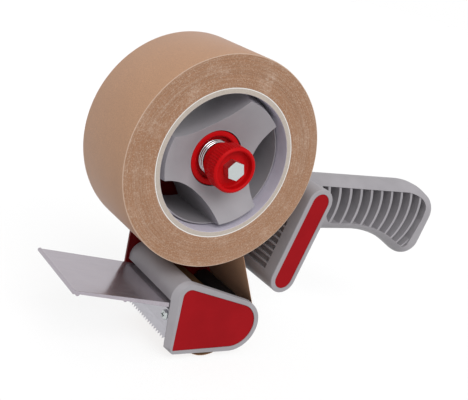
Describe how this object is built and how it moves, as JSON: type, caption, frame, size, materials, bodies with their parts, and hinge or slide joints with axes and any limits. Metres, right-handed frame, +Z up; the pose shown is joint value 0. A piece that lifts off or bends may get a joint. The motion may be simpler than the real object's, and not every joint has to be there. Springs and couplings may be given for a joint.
{
  "type": "tape dispenser",
  "caption": "Hand-held parcel tape gun: a tape roll on a braked hub beside a steel side plate, with a grip, rollers, a wiper flap and a toothed cutter.",
  "frame": {"origin": "middle of the whole dispenser's footprint, on the surface that the nose rests on", "axes": "+X from the wiper flap to the end of the grip, +Y from the open side to the side plate (along the roll's axis), +Z up"},
  "size_m": [0.2604, 0.064, 0.1724],
  "materials": {
    "plate_red": "gloss",
    "grey_plastic": "satin, finely textured",
    "hub_plastic": "satin",
    "inlay_red": "satin",
    "cup_red": "gloss",
    "knob_red": "gloss",
    "flap_plastic": "gloss",
    "liner_plastic": "matt",
    "zinc": "bright zinc",
    "spring_steel": "bright",
    "blade_steel": "bright rolled",
    "screw_steel": "bright plated",
    "blued_steel": "blued, satin",
    "axle_steel": "plain turned",
    "rubber_black": "matt",
    "roller_black": "satin",
    "bush_white": "matt",
    "core_card": "matt",
    "tape_kraft": "matt side, satin face"
  },
  "bodies": {
    "frame": {"side_plate": "plate_red", "nose_screws": "screw_steel", "handle_screws": "screw_steel", "retainer_rivets": "axle_steel", "hub_sleeve": "axle_steel", "rear_washer": "liner_plastic", "brake_spring": "spring_steel", "nose_housing": "grey_plastic", "nose_inlay": "inlay_red", "press_axle": "axle_steel", "guide_axle": "axle_steel", "tape_web": "tape_kraft", "cutter_blade": "blade_steel", "blade_screws": "screw_steel", "tape_retainer": "blued_steel", "handle": "grey_plastic", "handle_inlay": "inlay_red"},
    "hub": {"hub": "hub_plastic", "hub_liner": "liner_plastic", "brake_cup": "cup_red"},
    "roll": {"tape_core": "core_card", "tape_roll": "tape_kraft"},
    "brake_slide": {"brake_washer": "zinc"},
    "brake_knob": {"brake_knob": "knob_red", "brake_bolt": "zinc"},
    "press_roller": {"press_tyre": "rubber_black", "press_drum": "roller_black", "press_bushes": "bush_white"},
    "guide_roller": {"guide_roller": "roller_black"},
    "flap": {"wiper_flap": "flap_plastic"}
  },
  "joints": [
    {"name": "hub_spin", "type": "hinge", "parent": "frame", "child": "hub", "pos_m": [-0.0593, 0.003, 0.11405], "axis": [0, -1, 0], "continuous": true},
    {"name": "roll_slide", "type": "slide", "parent": "hub", "child": "roll", "axis": [0, -1, 0], "range_m": [0, 0.06]},
    {"name": "press_spin", "type": "hinge", "parent": "frame", "child": "press_roller", "pos_m": [-0.0423, 0.003, 0.01685], "axis": [0, -1, 0], "continuous": true},
    {"name": "guide_spin", "type": "hinge", "parent": "frame", "child": "guide_roller", "pos_m": [-0.0201, 0.003, 0.02415], "axis": [0, -1, 0], "continuous": true},
    {"name": "brake_advance", "type": "slide", "parent": "frame", "child": "brake_slide", "axis": [0, 1, 0], "range_m": [-0.0015, 0.002], "deforming": ["brake_spring"]},
    {"name": "knob_turn", "type": "hinge", "parent": "brake_slide", "child": "brake_knob", "pos_m": [-0.0593, -0.022, 0.11405], "axis": [0, 1, 0], "range_deg": [-540, 720]},
    {"name": "flap_flex", "type": "hinge", "parent": "frame", "child": "flap", "pos_m": [-0.0705, 0.003, 0.03275], "axis": [0, 1, 0], "range_deg": [-8, 15], "stiffness_Nm_per_rad": 0.25}
  ],
  "couplings": [
    {"joint": "press_spin", "follows": "hub_spin", "ratio": -3.5287},
    {"joint": "guide_spin", "follows": "hub_spin", "ratio": -9.344},
    {"joint": "knob_turn", "follows": "brake_advance", "rad_per_m": 6283.2}
  ]
}
